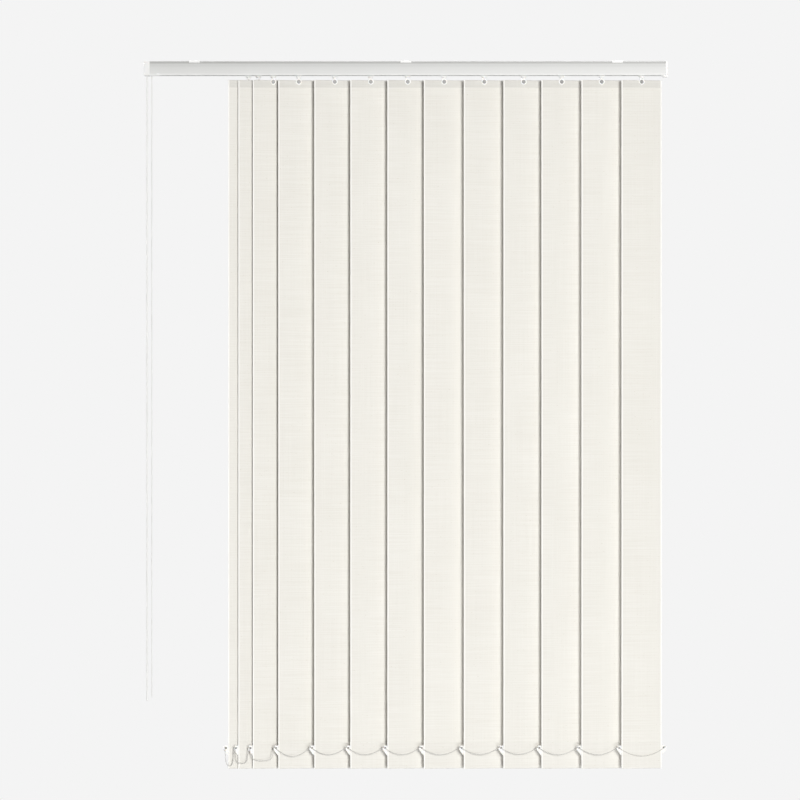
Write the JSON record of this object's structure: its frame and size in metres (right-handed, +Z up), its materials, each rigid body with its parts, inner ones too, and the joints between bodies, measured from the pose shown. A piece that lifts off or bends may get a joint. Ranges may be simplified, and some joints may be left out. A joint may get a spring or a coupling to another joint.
{
  "type": "vertical blind",
  "caption": "Vertical blind with cloth vanes on sliding carriers under a slotted headrail, a bead chain that tilts the vanes, a draw cord loop, and weights linked by a fine bottom chain.",
  "frame": {"origin": "centre of the middle bracket's screw hole, on the bracket's upper face, which meets the lintel or ceiling", "axes": "+X along the headrail towards the stacking end, -Y towards the room, +Z up, the way the screws go in"},
  "size_m": [1.114, 0.0474, 1.5075],
  "materials": {
    "painted_rail": "white powder coat on an aluminium extrusion",
    "bracket_metal": "white painted spring steel",
    "cap_plastic": "white moulded plastic, slightly glossy",
    "rod_metal": "plain extruded aluminium",
    "moving_plastic": "white acetal",
    "carrier_plastic": "white acetal",
    "fitting_plastic": "white moulded plastic",
    "vane_fabric": "warm off-white slub cloth, lightly stiffened",
    "bead_chain": "white plastic beads on a white thread",
    "cord": "white braided polyester"
  },
  "bodies": {
    "root": {"headrail": "painted_rail", "mounting_brackets": "bracket_metal", "control_end_cap": "cap_plastic", "idle_end_cap": "cap_plastic", "operating_chain": "bead_chain", "draw_cord": "cord", "carrier_13": "carrier_plastic"},
    "tilt_shaft": {"tilt_rod": "rod_metal", "chain_wheel": "moving_plastic"},
    "carrier_body_01": {"carrier_01": "carrier_plastic"},
    "carrier_body_02": {"carrier_02": "carrier_plastic"},
    "carrier_body_03": {"carrier_03": "carrier_plastic"},
    "carrier_body_04": {"carrier_04": "carrier_plastic"},
    "carrier_body_05": {"carrier_05": "carrier_plastic"},
    "carrier_body_06": {"carrier_06": "carrier_plastic"},
    "carrier_body_07": {"carrier_07": "carrier_plastic"},
    "carrier_body_08": {"carrier_08": "carrier_plastic"},
    "carrier_body_09": {"carrier_09": "carrier_plastic"},
    "carrier_body_10": {"carrier_10": "carrier_plastic"},
    "carrier_body_11": {"carrier_11": "carrier_plastic"},
    "carrier_body_12": {"carrier_12": "carrier_plastic"},
    "vane_body_01": {"vane_01": "vane_fabric", "vane_fittings_01": "fitting_plastic"},
    "vane_body_02": {"vane_02": "vane_fabric", "vane_fittings_02": "fitting_plastic"},
    "vane_body_03": {"vane_03": "vane_fabric", "vane_fittings_03": "fitting_plastic"},
    "vane_body_04": {"vane_04": "vane_fabric", "vane_fittings_04": "fitting_plastic"},
    "vane_body_05": {"vane_05": "vane_fabric", "vane_fittings_05": "fitting_plastic"},
    "vane_body_06": {"vane_06": "vane_fabric", "vane_fittings_06": "fitting_plastic"},
    "vane_body_07": {"vane_07": "vane_fabric", "vane_fittings_07": "fitting_plastic"},
    "vane_body_08": {"vane_08": "vane_fabric", "vane_fittings_08": "fitting_plastic"},
    "vane_body_09": {"vane_09": "vane_fabric", "vane_fittings_09": "fitting_plastic"},
    "vane_body_10": {"vane_10": "vane_fabric", "vane_fittings_10": "fitting_plastic"},
    "vane_body_11": {"vane_11": "vane_fabric", "vane_fittings_11": "fitting_plastic"},
    "vane_body_12": {"vane_12": "vane_fabric", "vane_fittings_12": "fitting_plastic"},
    "vane_body_13": {"vane_13": "vane_fabric", "vane_fittings_13": "fitting_plastic", "bottom_chain_13": "bead_chain"},
    "chain_body_01": {"bottom_chain_01": "bead_chain"},
    "chain_body_02": {"bottom_chain_02": "bead_chain"},
    "chain_body_03": {"bottom_chain_03": "bead_chain"},
    "chain_body_04": {"bottom_chain_04": "bead_chain"},
    "chain_body_05": {"bottom_chain_05": "bead_chain"},
    "chain_body_06": {"bottom_chain_06": "bead_chain"},
    "chain_body_07": {"bottom_chain_07": "bead_chain"},
    "chain_body_08": {"bottom_chain_08": "bead_chain"},
    "chain_body_09": {"bottom_chain_09": "bead_chain"},
    "chain_body_10": {"bottom_chain_10": "bead_chain"},
    "chain_body_11": {"bottom_chain_11": "bead_chain"},
    "chain_body_12": {"bottom_chain_12": "bead_chain"}
  },
  "joints": [
    {"name": "carrier_12_slide", "type": "slide", "parent": "root", "child": "carrier_body_12", "axis": [1, 0, 0], "range_m": [0, 0.0692], "deforming": ["bottom_chain_12"]},
    {"name": "carrier_11_slide", "type": "slide", "parent": "carrier_body_12", "child": "carrier_body_11", "axis": [1, 0, 0], "range_m": [0, 0.0692]},
    {"name": "carrier_10_slide", "type": "slide", "parent": "carrier_body_11", "child": "carrier_body_10", "axis": [1, 0, 0], "range_m": [-0.0043, 0.0649]},
    {"name": "carrier_09_slide", "type": "slide", "parent": "carrier_body_10", "child": "carrier_body_09", "axis": [1, 0, 0], "range_m": [-0.0011, 0.0681]},
    {"name": "carrier_08_slide", "type": "slide", "parent": "carrier_body_09", "child": "carrier_body_08", "axis": [1, 0, 0], "range_m": [0, 0.0692]},
    {"name": "carrier_07_slide", "type": "slide", "parent": "carrier_body_08", "child": "carrier_body_07", "axis": [1, 0, 0], "range_m": [-0.0075, 0.0617]},
    {"name": "carrier_06_slide", "type": "slide", "parent": "carrier_body_07", "child": "carrier_body_06", "axis": [1, 0, 0], "range_m": [-0.0064, 0.0628]},
    {"name": "carrier_05_slide", "type": "slide", "parent": "carrier_body_06", "child": "carrier_body_05", "axis": [1, 0, 0], "range_m": [-0.0085, 0.0607]},
    {"name": "carrier_04_slide", "type": "slide", "parent": "carrier_body_05", "child": "carrier_body_04", "axis": [1, 0, 0], "range_m": [-0.0085, 0.0607]},
    {"name": "carrier_03_slide", "type": "slide", "parent": "carrier_body_04", "child": "carrier_body_03", "axis": [1, 0, 0], "range_m": [-0.0309, 0.0383]},
    {"name": "carrier_02_slide", "type": "slide", "parent": "carrier_body_03", "child": "carrier_body_02", "axis": [1, 0, 0], "range_m": [-0.0543, 0.0149]},
    {"name": "carrier_01_slide", "type": "slide", "parent": "carrier_body_02", "child": "carrier_body_01", "axis": [1, 0, 0], "range_m": [-0.0257, 0.0053]},
    {"name": "vane_13_tilt", "type": "hinge", "parent": "root", "child": "vane_body_13", "pos_m": [0.502, 0, -0.0417], "axis": [0, 0, 1], "range_deg": [0, 152]},
    {"name": "vane_12_tilt", "type": "hinge", "parent": "carrier_body_12", "child": "vane_body_12", "pos_m": [0.4168, 0, -0.0417], "axis": [0, 0, 1], "range_deg": [0, 152]},
    {"name": "vane_11_tilt", "type": "hinge", "parent": "carrier_body_11", "child": "vane_body_11", "pos_m": [0.3316, 0, -0.0417], "axis": [0, 0, 1], "range_deg": [0, 152]},
    {"name": "vane_10_tilt", "type": "hinge", "parent": "carrier_body_10", "child": "vane_body_10", "pos_m": [0.2507, 0, -0.0417], "axis": [0, 0, 1], "range_deg": [0, 152]},
    {"name": "vane_09_tilt", "type": "hinge", "parent": "carrier_body_09", "child": "vane_body_09", "pos_m": [0.1666, 0, -0.0417], "axis": [0, 0, 1], "range_deg": [0, 152]},
    {"name": "vane_08_tilt", "type": "hinge", "parent": "carrier_body_08", "child": "vane_body_08", "pos_m": [0.0814, 0, -0.0417], "axis": [0, 0, 1], "range_deg": [0, 152]},
    {"name": "vane_07_tilt", "type": "hinge", "parent": "carrier_body_07", "child": "vane_body_07", "pos_m": [0.0037, 0, -0.0417], "axis": [0, 0, 1], "range_deg": [0, 152]},
    {"name": "vane_06_tilt", "type": "hinge", "parent": "carrier_body_06", "child": "vane_body_06", "pos_m": [-0.0751, 0, -0.0417], "axis": [0, 0, 1], "range_deg": [0, 152]},
    {"name": "vane_05_tilt", "type": "hinge", "parent": "carrier_body_05", "child": "vane_body_05", "pos_m": [-0.1518, 0, -0.0417], "axis": [0, 0, 1], "range_deg": [0, 152]},
    {"name": "vane_04_tilt", "type": "hinge", "parent": "carrier_body_04", "child": "vane_body_04", "pos_m": [-0.2285, 0, -0.0417], "axis": [0, 0, 1], "range_deg": [0, 152]},
    {"name": "vane_03_tilt", "type": "hinge", "parent": "carrier_body_03", "child": "vane_body_03", "pos_m": [-0.2828, 0, -0.0417], "axis": [0, 0, 1], "range_deg": [0, 152]},
    {"name": "vane_02_tilt", "type": "hinge", "parent": "carrier_body_02", "child": "vane_body_02", "pos_m": [-0.3137, 0, -0.0417], "axis": [0, 0, 1], "range_deg": [0, 152]},
    {"name": "vane_01_tilt", "type": "hinge", "parent": "carrier_body_01", "child": "vane_body_01", "pos_m": [-0.335, 0, -0.0417], "axis": [0, 0, 1], "range_deg": [0, 152]},
    {"name": "rod_turn", "type": "hinge", "parent": "root", "child": "tilt_shaft", "pos_m": [0, 0, -0.0172], "axis": [1, 0, 0], "range_deg": [0, 1368]},
    {"name": "chain_12_swing", "type": "hinge", "parent": "vane_body_12", "child": "chain_body_12", "pos_m": [0.36594, -0.01551, -1.462], "axis": [0, 0, 1], "range_deg": [-152, 0]},
    {"name": "chain_11_slide", "type": "slide", "parent": "chain_body_12", "child": "chain_body_11", "axis": [1, 0, 0], "range_m": [0, 0.0692], "deforming": ["bottom_chain_11"]},
    {"name": "chain_10_slide", "type": "slide", "parent": "chain_body_11", "child": "chain_body_10", "axis": [1, 0, 0], "range_m": [-0.0043, 0.0649], "deforming": ["bottom_chain_10"]},
    {"name": "chain_09_slide", "type": "slide", "parent": "chain_body_10", "child": "chain_body_09", "axis": [1, 0, 0], "range_m": [-0.0011, 0.0681], "deforming": ["bottom_chain_09"]},
    {"name": "chain_08_slide", "type": "slide", "parent": "chain_body_09", "child": "chain_body_08", "axis": [1, 0, 0], "range_m": [0, 0.0692], "deforming": ["bottom_chain_08"]},
    {"name": "chain_07_slide", "type": "slide", "parent": "chain_body_08", "child": "chain_body_07", "axis": [1, 0, 0], "range_m": [-0.0075, 0.0617], "deforming": ["bottom_chain_07"]},
    {"name": "chain_06_slide", "type": "slide", "parent": "chain_body_07", "child": "chain_body_06", "axis": [1, 0, 0], "range_m": [-0.0064, 0.0628], "deforming": ["bottom_chain_06"]},
    {"name": "chain_05_slide", "type": "slide", "parent": "chain_body_06", "child": "chain_body_05", "axis": [1, 0, 0], "range_m": [-0.0085, 0.0607], "deforming": ["bottom_chain_05"]},
    {"name": "chain_04_slide", "type": "slide", "parent": "chain_body_05", "child": "chain_body_04", "axis": [1, 0, 0], "range_m": [-0.0085, 0.0607], "deforming": ["bottom_chain_04"]},
    {"name": "chain_03_slide", "type": "slide", "parent": "chain_body_04", "child": "chain_body_03", "axis": [1, 0, 0], "range_m": [-0.0309, 0.0383], "deforming": ["bottom_chain_03"]},
    {"name": "chain_02_slide", "type": "slide", "parent": "chain_body_03", "child": "chain_body_02", "axis": [1, 0, 0], "range_m": [-0.0543, 0.0149], "deforming": ["bottom_chain_02"]},
    {"name": "chain_01_slide", "type": "slide", "parent": "chain_body_02", "child": "chain_body_01", "axis": [1, 0, 0], "range_m": [-0.0257, 0.0053], "deforming": ["bottom_chain_01"]}
  ],
  "couplings": [
    {"joint": "vane_12_tilt", "follows": "vane_13_tilt", "ratio": 1},
    {"joint": "vane_11_tilt", "follows": "vane_13_tilt", "ratio": 1},
    {"joint": "vane_10_tilt", "follows": "vane_13_tilt", "ratio": 1},
    {"joint": "vane_09_tilt", "follows": "vane_13_tilt", "ratio": 1},
    {"joint": "vane_08_tilt", "follows": "vane_13_tilt", "ratio": 1},
    {"joint": "vane_07_tilt", "follows": "vane_13_tilt", "ratio": 1},
    {"joint": "vane_06_tilt", "follows": "vane_13_tilt", "ratio": 1},
    {"joint": "vane_05_tilt", "follows": "vane_13_tilt", "ratio": 1},
    {"joint": "vane_04_tilt", "follows": "vane_13_tilt", "ratio": 1},
    {"joint": "vane_03_tilt", "follows": "vane_13_tilt", "ratio": 1},
    {"joint": "vane_02_tilt", "follows": "vane_13_tilt", "ratio": 1},
    {"joint": "vane_01_tilt", "follows": "vane_13_tilt", "ratio": 1},
    {"joint": "rod_turn", "follows": "vane_13_tilt", "ratio": 9},
    {"joint": "chain_12_swing", "follows": "vane_13_tilt", "ratio": -1},
    {"joint": "chain_11_slide", "follows": "carrier_11_slide", "ratio": 1},
    {"joint": "chain_10_slide", "follows": "carrier_10_slide", "ratio": 1},
    {"joint": "chain_09_slide", "follows": "carrier_09_slide", "ratio": 1},
    {"joint": "chain_08_slide", "follows": "carrier_08_slide", "ratio": 1},
    {"joint": "chain_07_slide", "follows": "carrier_07_slide", "ratio": 1},
    {"joint": "chain_06_slide", "follows": "carrier_06_slide", "ratio": 1},
    {"joint": "chain_05_slide", "follows": "carrier_05_slide", "ratio": 1},
    {"joint": "chain_04_slide", "follows": "carrier_04_slide", "ratio": 1},
    {"joint": "chain_03_slide", "follows": "carrier_03_slide", "ratio": 1},
    {"joint": "chain_02_slide", "follows": "carrier_02_slide", "ratio": 1},
    {"joint": "chain_01_slide", "follows": "carrier_01_slide", "ratio": 1}
  ]
}
